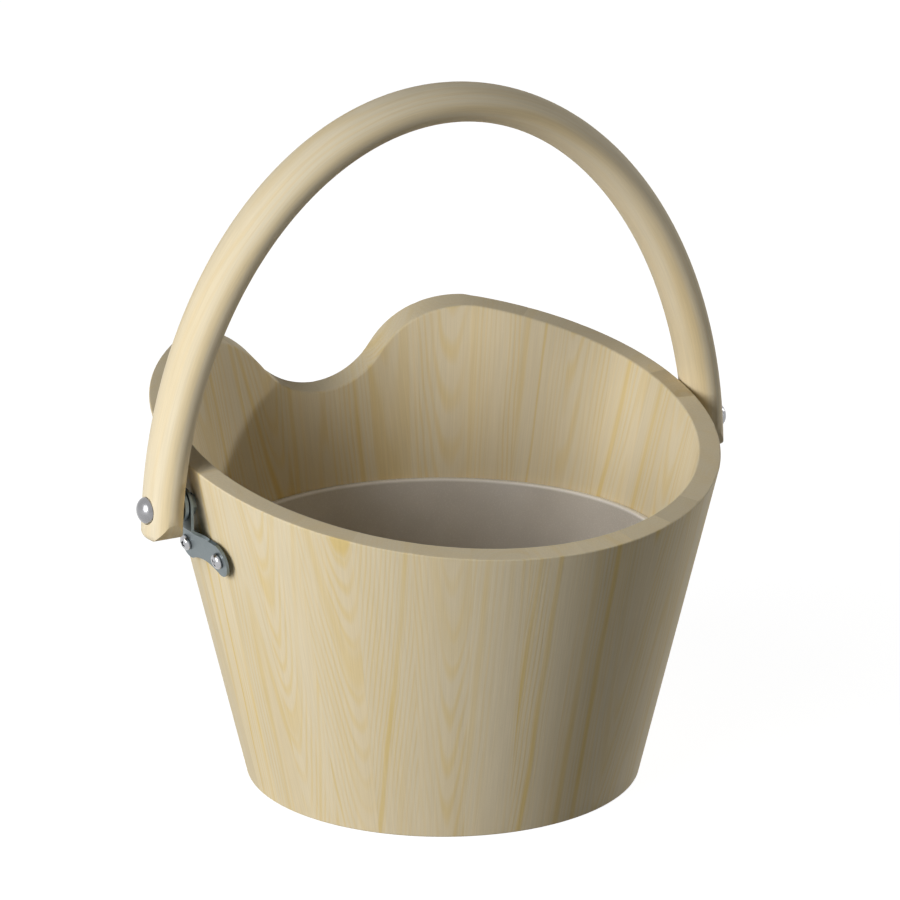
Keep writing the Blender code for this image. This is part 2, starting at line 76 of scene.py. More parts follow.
def roundEdges(bm, edges, offset, segments=3):
    bmesh.ops.bevel(bm, geom=edges, offset=offset, offset_type="OFFSET", segments=segments, profile=0.5,
                    affect="EDGES", material=-1, clamp_overlap=True)


def newObject(name, bm):
    bmesh.ops.remove_doubles(bm, verts=bm.verts, dist=weldGap)
    bmesh.ops.recalc_face_normals(bm, faces=bm.faces)
    mesh = bpy.data.meshes.new(name)
    bm.to_mesh(mesh)
    bm.free()
    piece = bpy.data.objects.new(name, mesh)
    scene.collection.objects.link(piece)
    return piece


def cutAway(piece, cutters):
    # boolean cuts, applied at once so that the piece keeps a plain mesh
    tools = []
    for bm in cutters:
        tool = newObject(piece.name + "Cutter", bm)
        cut = piece.modifiers.new("cut", "BOOLEAN")
        cut.object = tool
        cut.solver = "EXACT"
        tools.append(tool)
    bpy.context.view_layer.update()
    solid = piece.evaluated_get(bpy.context.evaluated_depsgraph_get())
    mesh = bpy.data.meshes.new_from_object(solid)
    piece.modifiers.clear()
    piece.data = mesh
    for tool in tools:
        bpy.data.objects.remove(tool)


def rodBetween(radius, start, end, segments=48):
    # cylinder from one point to another
    bm = bmesh.new()
    along = end - start
    turn = along.to_track_quat("Z", "Y").to_matrix().to_4x4()
    bmesh.ops.create_cone(bm, cap_ends=True, segments=segments, radius1=radius, radius2=radius,
                          depth=along.length, matrix=Matrix.Translation((start + end) / 2.0) @ turn)
    return bm


def finishPiece(piece, body, slotName, material, *nodes, sharp=35.0):
    piece.data.materials.clear()
    piece.data.materials.append(material)
    piece.data.shade_smooth()
    piece.data.set_sharp_from_angle(angle=math.radians(sharp))
    even = piece.modifiers.new("even shading", "WEIGHTED_NORMAL")
    even.keep_sharp = True
    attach(piece, body)
    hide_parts(*nodes)


# materials

def addNode(tree, kind, inputs=None, **settings):
    node = tree.nodes.new(kind)
    for name, value in settings.items():
        setattr(node, name, value)
    for name, value in (inputs or {}).items():
        if isinstance(value, bpy.types.NodeSocket):
            tree.links.new(value, node.inputs[name])
        else:
            node.inputs[name].default_value = value
    return node


def newMaterial(name, **inputs):
    material = bpy.data.materials.new(name)
    material.use_nodes = True
    shader = material.node_tree.nodes["Principled BSDF"]
    for key, value in inputs.items():
        shader.inputs[key.replace("_", " ")].default_value = value
    return material, material.node_tree, shader


def mathNode(tree, operation, first, second=0.0, third=0.0):
    return addNode(tree, "ShaderNodeMath", {0: first, 1: second, 2: third}, operation=operation).outputs[0]


def vectorNode(tree, operation, first, second=(0, 0, 0)):
    node = addNode(tree, "ShaderNodeVectorMath", {0: first, 1: second}, operation=operation)
    return node.outputs["Value" if operation == "LENGTH" else "Vector"]


def mixColours(tree, share, first, second, blend="MIX"):
    node = addNode(tree, "ShaderNodeMix", data_type="RGBA", blend_type=blend)
    for index, value in ((0, share), (6, first), (7, second)):
        if isinstance(value, bpy.types.NodeSocket):
            tree.links.new(value, node.inputs[index])
        else:
            node.inputs[index].default_value = value
    return node.outputs[2]


def noiseOf(tree, place, stretch, detail=2.0, roughness=0.5, output="Fac"):
    # stretch is one scale for all ways or three scales
    if isinstance(stretch, tuple):
        place, stretch = vectorNode(tree, "MULTIPLY", place, stretch), 1.0
    noise = addNode(tree, "ShaderNodeTexNoise",
                    {"Vector": place, "Scale": stretch, "Detail": detail, "Roughness": roughness})
    return noise.outputs[output]


def rangeOf(tree, value, fromLow, fromHigh, toLow, toHigh):
    return addNode(tree, "ShaderNodeMapRange", {"Value": value, "From Min": fromLow, "From Max": fromHigh,
                                                "To Min": toLow, "To Max": toHigh}).outputs["Result"]


def spreadOf(tree, noise, low, high):
    # a noise keeps mostly between 0.3 and 0.7
    return rangeOf(tree, noise, 0.3, 0.7, low, high)


def addBump(tree, shader, height, strength, depth):
    bump = addNode(tree, "ShaderNodeBump", {"Height": height, "Strength": strength, "Distance": depth})
    tree.links.new(bump.outputs["Normal"], shader.inputs["Normal"])


# scales are noise per metre: across, deep and along the plank
pineLook = dict(
    cream=(0.80, 0.69, 0.482, 1.0),
    late=(0.775, 0.595, 0.262, 1.0),
    blush=(0.80, 0.65, 0.39, 1.0),
    blushShare=0.5,
    bandSpacing=0.0105,
    bandFrom=0.18,
    bandRise=0.45,
    bandWidth=(0.09, 0.28),
    bandStrength=1.0,
    bandShift=7.31,
    lineSpacing=0.0023,
    lineFrom=-0.3,
    lineStrength=0.55,
    taper=(-0.15, 0.06),
    wobble=0.0045,
    wobbleScale=(30.0, 30.0, 11.0),
    ripple=0.0012,
    rippleScale=(170.0, 170.0, 26.0),
    broadScale=(60.0, 60.0, 7.0),
    lineScale=(85.0, 85.0, 6.0),
    fibreScale=(1500.0, 1500.0, 28.0),
    fibre=0.06,
    plankTone=(0.955, 1.03),
    endTone=(-0.16, 0.06),
    endFade=0.0,
    shine=0.08,
    roughness=0.52,
    bump=0.12,
    bumpDepth=0.0004,
)
drawSeeds = dict(taper=0.9, width=0.3, strength=0.7, tone=0.1, end=0.5)


def swayOf(tree, grain, stretch, reach):
    # slow sideways wandering of the grain
    noise = noiseOf(tree, grain, stretch, 1.0, output="Color")
    centred = vectorNode(tree, "SUBTRACT", noise, (0.5, 0.5, 0.5))
    return vectorNode(tree, "MULTIPLY", centred, (reach, reach, 0.0))


def drawOf(tree, number, use):
    # one random value for each whole number
    seed = mathNode(tree, "ADD", number, drawSeeds[use])
    return addNode(tree, "ShaderNodeTexWhiteNoise", {"W": seed}, noise_dimensions="1D").outputs["Value"]


def latewoodOf(tree, look, grain, height, plank, broad):
    # share of latewood: wide bands of random width and strength, and fine lines in patches
    swayed = vectorNode(tree, "ADD", grain, swayOf(tree, grain, look["wobbleScale"], look["wobble"]))
    swayed = vectorNode(tree, "ADD", swayed, swayOf(tree, grain, look["rippleScale"], look["ripple"]))
    radius = vectorNode(tree, "LENGTH", vectorNode(tree, "MULTIPLY", swayed, (1.0, 1.0, 0.0)))
    taper = rangeOf(tree, drawOf(tree, plank, "taper"), 0.0, 1.0, *look["taper"])
    radius = mathNode(tree, "MULTIPLY_ADD", mathNode(tree, "SUBTRACT", height, plank), taper, radius)

    years = mathNode(tree, "DIVIDE", radius, look["bandSpacing"])
    years = mathNode(tree, "MULTIPLY_ADD", plank, look["bandShift"], years)
    number = mathNode(tree, "FLOOR", years)
    offCentre = mathNode(tree, "SUBTRACT", mathNode(tree, "FRACT", years), 0.5)
    halfWidth = rangeOf(tree, drawOf(tree, number, "width"), 0.0, 1.0, *look["bandWidth"])
    inBand = mathNode(tree, "DIVIDE", mathNode(tree, "ABSOLUTE", offCentre), halfWidth)
    band = addNode(tree, "ShaderNodeMapRange", {"Value": inBand, "From Min": 1.0, "From Max": 0.2},
                   interpolation_type="SMOOTHSTEP").outputs["Result"]
    strength = rangeOf(tree, drawOf(tree, number, "strength"), look["bandFrom"],
                       look["bandFrom"] + look["bandRise"], 0.0, look["bandStrength"])
    strength = mathNode(tree, "MULTIPLY", strength, rangeOf(tree, broad, 0.35, 0.6, 0.4, 1.0))
    band = mathNode(tree, "MULTIPLY", band, strength)

    wave = mathNode(tree, "SINE", mathNode(tree, "MULTIPLY", radius, 2.0 * math.pi / look["lineSpacing"]))
    line = rangeOf(tree, wave, look["lineFrom"], 1.0, 0.0, look["lineStrength"])
    patch = noiseOf(tree, grain, look["lineScale"], 1.0)
    line = mathNode(tree, "MULTIPLY", line, rangeOf(tree, patch, 0.32, 0.62, 0.0, 1.0))
    return mathNode(tree, "MAXIMUM", band, line)


def makePine(name, **changes):
    # the attribute "grain" tells where a point lies in its plank: across and deep from the pith, then
    # along, where the whole metres count the planks
    look = dict(pineLook, **changes)
    material, tree, shader = newMaterial(name, Specular_IOR_Level=look["shine"])
    grain = addNode(tree, "ShaderNodeAttribute", attribute_name="grain").outputs["Vector"]
    height = addNode(tree, "ShaderNodeSeparateXYZ", {0: grain}).outputs["Z"]
    plank = mathNode(tree, "FLOOR", height)
    broad = noiseOf(tree, grain, look["broadScale"])
    fibre = noiseOf(tree, grain, look["fibreScale"], 3.0, 0.6)

    # end grain on the rim shows less of the bands, and its tone changes from stave to stave
    normal = addNode(tree, "ShaderNodeTexCoord").outputs["Normal"]
    facing = addNode(tree, "ShaderNodeSeparateXYZ", {0: normal}).outputs["Z"]
    endOn = rangeOf(tree, facing, 0.6, 0.9, 0.0, look["endFade"])
    late = latewoodOf(tree, look, grain, height, plank, broad)
    late = mathNode(tree, "MULTIPLY", late, mathNode(tree, "SUBTRACT", 1.0, endOn))

    blushed = rangeOf(tree, broad, 0.45, 0.75, 0.0, look["blushShare"])
    colour = mixColours(tree, blushed, look["cream"], look["blush"])
    colour = mixColours(tree, late, colour, look["late"])
    shade = spreadOf(tree, fibre, 1.0 - look["fibre"], 1.0 + look["fibre"] * 0.4)
    plankTone = rangeOf(tree, drawOf(tree, plank, "tone"), 0.0, 1.0, *look["plankTone"])
    shade = mathNode(tree, "MULTIPLY", shade, plankTone)
    endTone = rangeOf(tree, drawOf(tree, plank, "end"), 0.0, 1.0, *look["endTone"])
    shade = mathNode(tree, "MULTIPLY", shade, mathNode(tree, "MULTIPLY_ADD", endOn, endTone, 1.0))
    tree.links.new(mixColours(tree, 1.0, colour, shade, "MULTIPLY"), shader.inputs["Base Color"])
    rough = spreadOf(tree, fibre, look["roughness"] + 0.08, look["roughness"] - 0.04)
    tree.links.new(rough, shader.inputs["Roughness"])
    addBump(tree, shader, mathNode(tree, "MULTIPLY_ADD", late, 0.6, fibre), look["bump"], look["bumpDepth"])
    return material


metalLook = dict(scratch=(40.0, 900.0, 900.0), cloud=160.0, cloudTone=(0.95, 1.05), bump=0.08,
                 bumpDepth=0.0002)


def makeMetal(name, colour, roughness, grain=0.06):
    look = metalLook
    material, tree, shader = newMaterial(name, Metallic=1.0)
    place = addNode(tree, "ShaderNodeTexCoord").outputs["Object"]
    fine = noiseOf(tree, place, look["scratch"], 3.0, 0.6)
    cloud = noiseOf(tree, place, look["cloud"])
    shade = mathNode(tree, "MULTIPLY", spreadOf(tree, fine, 1.0 - grain, 1.0 + grain),
                     spreadOf(tree, cloud, *look["cloudTone"]))
    tree.links.new(mixColours(tree, 1.0, (*colour, 1.0), shade, "MULTIPLY"), shader.inputs["Base Color"])
    tree.links.new(spreadOf(tree, fine, roughness - 0.05, roughness + 0.07), shader.inputs["Roughness"])
    addBump(tree, shader, fine, look["bump"], look["bumpDepth"])
    return material


# lip gives the band below the liner's top where the painted highlight fades in
plasticLook = dict(cloud=35.0, cloudTone=(0.95, 1.05), lip=(0.0018, 0.0006), grain=1400.0, bump=0.05,
                   bumpDepth=0.0002)


def makePlastic(name, colour, lipHighlightColour, roughness):
    # the thin lip at the top is painted paler: a painted highlight where its rounded edge would catch the
    # light
    look = plasticLook
    material, tree, shader = newMaterial(name, Specular_IOR_Level=0.5)
    place = addNode(tree, "ShaderNodeTexCoord").outputs["Object"]
    shade = spreadOf(tree, noiseOf(tree, place, look["cloud"], 3.0), *look["cloudTone"])
    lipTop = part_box("liner")[1].z
    height = addNode(tree, "ShaderNodeSeparateXYZ", {0: place}).outputs["Z"]
    # painted highlight: the colour turns paler over the top millimetres of the lip
    paintedLipHighlight = rangeOf(tree, height, lipTop - look["lip"][0], lipTop - look["lip"][1], 0.0, 1.0)
    withLipHighlight = mixColours(tree, paintedLipHighlight, (*colour, 1.0), (*lipHighlightColour, 1.0))
    tree.links.new(mixColours(tree, 1.0, withLipHighlight, shade, "MULTIPLY"), shader.inputs["Base Color"])
    grainy = noiseOf(tree, place, look["grain"])
    tree.links.new(spreadOf(tree, grainy, roughness - 0.04, roughness + 0.06), shader.inputs["Roughness"])
    addBump(tree, shader, grainy, look["bump"], look["bumpDepth"])
    return material


pineWall = makePine("pineWall", endFade=0.7)
pineBoard = makePine("pineBoard", cream=(0.74, 0.62, 0.40, 1.0), taper=(0.0, 0.0), roughness=0.55)
pineBow = makePine("pineBow", cream=(0.85, 0.745, 0.54, 1.0), late=(0.80, 0.63, 0.34, 1.0), bandFrom=-0.45,
                   bandSpacing=0.020, bandWidth=(0.13, 0.18), bandStrength=0.75, taper=(0.0, 0.0),
                   lineStrength=0.4, shine=0.06, roughness=0.56)
# the third colour is the painted highlight on the liner's lip
taupePlastic = makePlastic("taupePlastic", (0.60, 0.55, 0.485), (0.95, 0.90, 0.83), 0.24)
zincSheet = makeMetal("zincSheet", (0.185, 0.22, 0.23), 0.38)
chromeScrew = makeMetal("chromeScrew", (0.44, 0.44, 0.455), 0.16, grain=0.02)
boltSteel = makeMetal("boltSteel", (0.30, 0.30, 0.31), 0.24, grain=0.01)
print("materials made")


# bucket wall: thirty glued staves under a slanted, notched rim

bucket = dict(baseRadius=0.100, taper=math.tan(math.radians(13.1)), wall=0.0116, staves=30, steps=12,
              rimHeight=0.1814, rimSlope=math.tan(math.radians(12.4)), rimPasses=12, rimRound=0.0010,
              footRound=0.0008)
notch = dict(drop=0.0136, radius=0.043, shoulder=0.063, flank=math.radians(52.0))
board = dict(low=0.010, high=0.020, groove=0.004, gap=0.0003, edge=0.001, segments=120)


def wallRadius(z):
    return bucket["baseRadius"] + z * bucket["taper"]


def innerRadius(z):
    return wallRadius(z) - bucket["wall"]


def notchHeight(x):
    # a hollow arc that runs over into a round shoulder
    floorZ = bucket["rimHeight"] - notch["drop"]
    turnX = notch["radius"] * math.sin(notch["flank"])
    across = abs(x)
    if across <= turnX:
        return floorZ + notch["radius"] - math.sqrt(notch["radius"] ** 2 - across ** 2)
    topZ = floorZ + (notch["radius"] + notch["shoulder"]) * (1.0 - math.cos(notch["flank"]))
    inset = max(turnX + notch["shoulder"] * math.sin(notch["flank"]) - across, 0.0)
    return topZ - notch["shoulder"] + math.sqrt(notch["shoulder"] ** 2 - inset ** 2)


def rimHeight(x, y):
    # the notch is cut along the slant of the rim, so its inner edge lies lower than its outer edge
    slanted = bucket["rimHeight"] + y * bucket["rimSlope"]
    if y <= 0.0:
        return slanted
    cut = notchHeight(x)
    outerY = math.sqrt(max(wallRadius(cut) ** 2 - x ** 2, 0.0))
    return min(slanted, cut - (outerY - y) * bucket["rimSlope"])


def rimPoint(turn, inset):
    # turn counts from the front towards +X
    z = bucket["rimHeight"]
    for _ in range(bucket["rimPasses"]):
        radius = wallRadius(z) - inset
        z = rimHeight(radius * math.sin(turn), -radius * math.cos(turn))
    return Vector((radius * math.sin(turn), -radius * math.cos(turn), z))


def makeStave(index):
    width = 2.0 * math.pi / bucket["staves"]
    top = bucket["rimHeight"]
    low = board["low"] - board["gap"]
    high = board["high"] + board["gap"]
    deep = innerRadius(high) + board["groove"]
    section = [(wallRadius(0.0), 0.0), (wallRadius(top), top), (innerRadius(top), top),
               (innerRadius(high), high), (deep, high), (deep, low), (innerRadius(low), low),
               (innerRadius(0.0), 0.0)]
    bm = bmesh.new()
    verts, edges = drawLine(bm, [(radius, 0.0, z) for radius, z in section], closed=True)
    face = bm.faces.new(verts)
    bmesh.ops.spin(bm, geom=[face] + edges + verts, cent=(0, 0, 0), axis=(0, 0, 1), angle=width,
                   steps=bucket["steps"])
    bmesh.ops.rotate(bm, cent=(0, 0, 0), verts=bm.verts,
                     matrix=Matrix.Rotation(index * width - math.pi / 2.0, 3, "Z"))
    rims = {"outer": [], "inner": []}
    for vert in bm.verts:
        if abs(vert.co.z - top) < nearZero:
            outer = vert.co.xy.length > wallRadius(top) - bucket["wall"] / 2.0
            turn = math.atan2(vert.co.x, -vert.co.y)
            vert.co = rimPoint(turn, 0.0 if outer else bucket["wall"])
            rims["outer" if outer else "inner"].append(vert)
    foot = [vert for vert in bm.verts if abs(vert.co.z) < nearZero]
    middle = bucket["baseRadius"] - bucket["wall"] / 2.0
    feet = [[vert for vert in foot if (vert.co.xy.length > middle) == outer] for outer in (True, False)]
    for rows, size in ((rims.values(), bucket["rimRound"]), (feet, bucket["footRound"])):
        for row in rows:
            known = set(row)
            ring = [edge for edge in bm.edges if edge.verts[0] in known and edge.verts[1] in known]
            roundEdges(bm, ring, size)
    return newObject(f"staveWood{index + 1:02d}", bm)


staveGrain = dict(seed=11, flatShare=0.5, flatAcross=0.009, flatDeep=(0.003, 0.008),
                  quarterAcross=(0.04, 0.09), quarterDeep=0.02, lean=0.04, tilt=0.01, start=1.3)
grainDraws = random.Random(staveGrain["seed"])


def drawEitherWay(reach):
    return grainDraws.uniform(-reach, reach)


def markPlank(piece, place, pith, lean, tilt, start):
    # place turns a point into plank axes: across, deep and along
    marks = piece.data.attributes.new("grain", "FLOAT_VECTOR", "POINT")
    for vert, mark in zip(piece.data.vertices, marks.data):
        across, deep, along = place(vert.co)
        mark.vector = (across - pith[0] - lean * along, deep - pith[1] - tilt * along, along + start)


def markStave(piece, index):
    turn = (index + 0.5) * 2.0 * math.pi / bucket["staves"]
    outward = Vector((math.sin(turn), -math.cos(turn), 0.0))
    sideways = Vector((math.cos(turn), math.sin(turn), 0.0))
    up = (Vector((0, 0, 1)) + outward * bucket["taper"]).normalized()
    deepWay = up.cross(sideways)
    base = outward * bucket["baseRadius"]

    def place(co):
        away = co - base
        return away.dot(sideways), away.dot(deepWay), away.dot(up)

    # a flat-sawn stave has its pith close behind, so that the rings make a V on it
    way = grainDraws.choice((-1.0, 1.0))
    if grainDraws.random() < staveGrain["flatShare"]:
        pith = (drawEitherWay(staveGrain["flatAcross"]), way * grainDraws.uniform(*staveGrain["flatDeep"]))
    else:
        pith = (way * grainDraws.uniform(*staveGrain["quarterAcross"]),
                drawEitherWay(staveGrain["quarterDeep"]))
    lean = drawEitherWay(staveGrain["lean"])
    tilt = drawEitherWay(staveGrain["tilt"])
    markPlank(piece, place, pith, lean, tilt, index + staveGrain["start"])


for index in range(bucket["staves"]):
    stave = makeStave(index)
    markStave(stave, index)
    finishPiece(stave, "bucket", "pine_wall", pineWall, f"stave_{index + 1:02d}")
print("staves made:", bucket["staves"])


# bottom board in its groove

boardGrain = dict(pith=(0.02, 0.067), lean=0.01, tilt=0.02, start=75.3)


def makeBoard():
    bm = bmesh.new()
    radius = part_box("bottom_board")[1].x
    bmesh.ops.create_cone(bm, cap_ends=True, segments=board["segments"], radius1=radius, radius2=radius,
                          depth=board["high"] - board["low"],
                          matrix=Matrix.Translation((0, 0, (board["high"] + board["low"]) / 2.0)))
    level = [edge for edge in bm.edges if abs(edge.verts[0].co.z - edge.verts[1].co.z) < nearZero]
    roundEdges(bm, level, board["edge"])
    return newObject("bottomBoardWood", bm)


boardPiece = makeBoard()
markPlank(boardPiece, lambda co: (co.x, co.z, co.y), **boardGrain)
finishPiece(boardPiece, "bucket", "pine_board", pineBoard, "bottom_board")
print("bottom board made")


# plastic liner, a cup with a turned-out lip

liner = dict(wall=0.0018, floor=0.0022, clearance=0.0022, lip=0.0034, lipClearance=0.0005, corner=0.010,
             steps=128, cornerSteps=8, lipSteps=6)


def makeLiner():
    base, rim = (corner.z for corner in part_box("liner"))

    def outer(z):
        return innerRadius(z) - liner["clearance"]

    lipRadius = innerRadius(rim) - liner["lipClearance"]
    lipRound = liner["lip"] / 3.0
    lipLow = rim - liner["lip"]
    floorZ = base + liner["floor"]
    foot = outer(base) - liner["corner"]
    bend = liner["corner"] - liner["wall"]
    quarter = math.pi / 2.0
    points = [(0.0, floorZ)]
    points += arcPoints((foot, floorZ + bend), bend, -quarter, 0.0, liner["cornerSteps"])
    mouth = outer(rim) - liner["wall"]
    points += arcPoints((mouth + lipRound, rim - lipRound), lipRound, math.pi, quarter, liner["lipSteps"])
    points += arcPoints((lipRadius - lipRound, rim - lipRound), lipRound, quarter, 0.0, liner["lipSteps"])
    points += [(lipRadius - lipRound * bucket["taper"], lipLow), (outer(lipLow), lipLow)]
    points += arcPoints((foot, base + liner["corner"]), liner["corner"], 0.0, -quarter,
                        liner["cornerSteps"])
    points += [(0.0, base)]
    bm = bmesh.new()
    turnProfile(bm, points, liner["steps"])
    return newObject("linerCup", bm)


finishPiece(makeLiner(), "liner", "taupe_plastic", taupePlastic, "liner")
print("liner made")


# bow: an oval rod bent to a half ellipse, its ends rounded about the pivot

bow = dict(reach=0.1910, thickness=0.0190, endThickness=0.0180, width=0.0328, endWidth=0.0272,
           springDrop=0.0222, endDrop=0.0018, endEase=0.004, stations=120, easeStations=10, around=48,
           endCuts=24, seatDepth=0.00125, seatRadius=0.014, headSeatDepth=0.0010, softFrom=0.09,
           softFade=0.09, softRatio=1.24)
bowGrain = dict(pith=(0.0, 0.0534), lean=0.004, tilt=0.0185, start=95.1)
fasten = dict(pivotDrop=0.0206, gap=0.0003, sheet=0.0015, boltRadius=0.003, boltChamfer=0.0005,
              headRadius=0.0066, headHeight=0.0048, headLip=0.0003, domeEnd=0.08, nutAcross=0.010,
              nutThick=0.0032, nutGap=0.0004, nutEdge=0.0003, washerRadius=0.008, washerThick=0.0024,
              washerEdge=0.0003, steps=64)

pivotHeight = bucket["rimHeight"] - fasten["pivotDrop"]
nutCorner = fasten["nutAcross"] / math.sqrt(3.0)
nutInner = wallRadius(pivotHeight + nutCorner) + fasten["nutGap"]
tongueInner = nutInner + fasten["nutThick"] + fasten["gap"]
washerInner = tongueInner + fasten["sheet"] + fasten["gap"]
bowSeat = washerInner + fasten["washerThick"] + fasten["gap"]
bowMiddle = bowSeat - bow["seatDepth"] + bow["endThickness"] / 2.0
headSeat = bowMiddle + bow["endThickness"] / 2.0 - bow["headSeatDepth"]
bowRise = bow["reach"] - bow["thickness"] / 2.0 + bow["springDrop"]
bowHalfSpan = bowMiddle / math.sqrt(1.0 - (bow["springDrop"] / bowRise) ** 2)
bowEnd = bow["endDrop"] + bow["endWidth"] / 2.0
pivot = Vector((0.0, 0.0, pivotHeight))


def bowFrame(turn):
    # middle of the bow, the way along it and the way out of it
    height = bowRise * math.sin(turn) - bow["springDrop"]
    middle = Vector((bowHalfSpan * math.cos(turn), 0.0, height)) + pivot
    along = Vector((-bowHalfSpan * math.sin(turn), 0.0, bowRise * math.cos(turn))).normalized()
    return middle, along, Vector((along.z, 0.0, -along.x))


def bowSize(height):
    # thickness and width of the oval section; height goes from 0 at the pivot to 1 at the top
    share = max(height, 0.0)
    return (bow["endThickness"] + (bow["thickness"] - bow["endThickness"]) * share,
            bow["endWidth"] + (bow["width"] - bow["endWidth"]) * share)


def bowRing(bm, turn):
    # one oval section; it grows wider towards the top and is eased in at the very end
    middle, _, outward = bowFrame(turn)
    level = middle.z - pivotHeight
    thickness, width = bowSize(level / (bowRise - bow["springDrop"]))
    nearEnd = min(max(bow["endEase"] - (level + bowEnd), 0.0), bow["endEase"])
    thickness -= 2.0 * (bow["endEase"] - math.sqrt(bow["endEase"] ** 2 - nearEnd ** 2))
    ring = bmesh.ops.create_circle(bm, segments=bow["around"], radius=0.5)["verts"]
    for vert in ring:
        vert.co = middle + outward * (vert.co.x * thickness) + Vector((0.0, vert.co.y * width, 0.0))
    known = set(ring)
    return [edge for edge in bm.edges if edge.verts[0] in known]


def makeBow():
    bm = bmesh.new()
    endTurn = math.asin((bow["springDrop"] - bowEnd) / bowRise)
    easeTurn = bow["endEase"] / bowRise
    turns = [endTurn + easeTurn * step / bow["easeStations"] for step in range(bow["easeStations"])]
    span = math.pi - 2.0 * (endTurn + easeTurn)
    upper = [endTurn + easeTurn + span * step / bow["stations"] for step in range(bow["stations"] + 1)]
    loops = [bowRing(bm, turn) for turn in turns + upper + [math.pi - turn for turn in reversed(turns)]]
    for near, far in zip(loops, loops[1:]):
        bmesh.ops.bridge_loops(bm, edges=near + far)
    for end in (loops[0], loops[-1]):
        bmesh.ops.contextual_create(bm, geom=end)
    endCentre = pivot - Vector((0.0, 0.0, bow["endDrop"]))
    for step in range(1, bow["endCuts"]):
        turn = math.pi * step / bow["endCuts"]
        down = Vector((0.0, math.cos(turn), -math.sin(turn)))
        cut = bmesh.ops.bisect_plane(bm, geom=bm.verts[:] + bm.edges[:] + bm.faces[:], dist=weldGap,
                                     plane_co=endCentre + down * bow["endWidth"] / 2.0, plane_no=down,
                                     clear_outer=True)
        opened = [item for item in cut["geom_cut"] if isinstance(item, bmesh.types.BMEdge)]
        bmesh.ops.edgeloop_fill(bm, edges=opened)
    piece = newObject("handleBowWood", bm)
    seat = Vector((bowSeat, 0, 0))
    cutters = [rodBetween(bow["seatRadius"], pivot - seat, pivot + seat)]
    for sign in sides.values():
        reach = Vector((sign * (bowHalfSpan + bow["width"]), 0, 0))
        head = Vector((sign * headSeat, 0, 0))
        cutters.append(rodBetween(fasten["headRadius"] + fasten["gap"], pivot + head, pivot + reach))
        cutters.append(rodBetween(fasten["boltRadius"] + 2.0 * fasten["gap"], pivot, pivot + reach))
    cutAway(piece, cutters)
    return piece


def bowTurn(co):
    # where the middle line comes nearest to a point
    spot = co - pivot
    turn = math.atan2((spot.z + bow["springDrop"]) / bowRise, spot.x / bowHalfSpan)
    for _ in range(3):
        middle, along, _ = bowFrame(turn)
        pace = math.hypot(bowHalfSpan * math.sin(turn), bowRise * math.cos(turn))
        turn += (co - middle).dot(along) / pace
    return turn


def bowPlank(co):
    # how far sideways, out and along the bow a point lies
    turn = bowTurn(co)
    middle, _, outward = bowFrame(turn)
    return co.y, (co - middle).dot(outward), turn * (bowHalfSpan + bowRise) / 2.0


def softenLegs(piece):
    # the sanded legs take the light as a rounder rod does; the ends and the top keep their own normals
    bpy.context.view_layer.update()
    even = piece.evaluated_get(bpy.context.evaluated_depsgraph_get()).data
    normals = [corner.vector.copy() for corner in even.corner_normals]
    for loop in piece.data.loops:
        co = piece.data.vertices[loop.vertex_index].co
        middle, _, outward = bowFrame(bowTurn(co))
        level = (middle.z - pivotHeight) / (bowRise - bow["springDrop"])
        share = min(max((level - bow["softFrom"]) / bow["softFade"], 0.0), 2.0 - 2.0 * level, 1.0)
        if share > 0.0:
            thickness, width = bowSize(level)
            rounder = outward * (co - middle).dot(outward) / thickness
            rounder += Vector((0.0, co.y / (width * bow["softRatio"]), 0.0))
            normals[loop.index] = normals[loop.index].lerp(rounder.normalized(), share).normalized()
    piece.modifiers.clear()
    piece.data.normals_split_custom_set(normals)


bowPiece = makeBow()
markPlank(bowPiece, bowPlank, **bowGrain)
finishPiece(bowPiece, "handle", "pine_bow", pineBow, "handle_bow", sharp=30.0)
softenLegs(bowPiece)
print("bow made")


# bolts, washers and nuts at the pivot

def alongX(sign, start):
    # Z of a turned profile points outwards along X
    turn = Matrix.Rotation(sign * math.pi / 2.0, 4, "Y")
    return Matrix.Translation((sign * start, 0.0, pivotHeight)) @ turn


def makeBolt(side, sign):
    seat = headSeat + fasten["gap"]
    length = seat - nutInner
    chamfer = fasten["boltChamfer"]
    dome = arcPoints((0.0, 0.0), fasten["headRadius"], math.pi / 2.0, fasten["domeEnd"], 16)
    points = [(radius, height * fasten["headHeight"] / fasten["headRadius"]) for radius, height in dome]
    points += [(fasten["headRadius"], fasten["headLip"]), (fasten["headRadius"], 0.0),
               (fasten["boltRadius"], 0.0), (fasten["boltRadius"], chamfer - length),
               (fasten["boltRadius"] - chamfer, -length), (0.0, -length)]
    bm = bmesh.new()
    turnProfile(bm, points, fasten["steps"], alongX(sign, seat))
    return newObject("bolt" + side.capitalize(), bm)


def makeWasher(side, sign):
    hole = fasten["boltRadius"] + fasten["gap"]
    half = fasten["washerThick"] / 2.0
    rim = fasten["washerRadius"]
    ease = fasten["washerEdge"]
    points = [(hole, half), (rim - ease, half), (rim, half - ease), (rim, ease - half), (rim - ease, -half),
              (hole, -half), (hole, half)]
    bm = bmesh.new()
    turnProfile(bm, points, fasten["steps"], alongX(sign, washerInner + half))
    return newObject("washer" + side.capitalize(), bm)


def makeNut(side, sign):
    bm = bmesh.new()
    half = fasten["nutThick"] / 2.0
    place = alongX(sign, nutInner + half)
    bmesh.ops.create_cone(bm, cap_ends=True, segments=6, radius1=nutCorner, radius2=nutCorner,
                          depth=2.0 * half, matrix=place)
    roundEdges(bm, bm.edges[:], fasten["nutEdge"], 2)
    nut = newObject("nut" + side.capitalize(), bm)
    reach = Vector((2.0 * half, 0, 0))
    middle = place.translation
    cutAway(nut, [rodBetween(fasten["boltRadius"] + fasten["gap"], middle - reach, middle + reach)])
    return nut


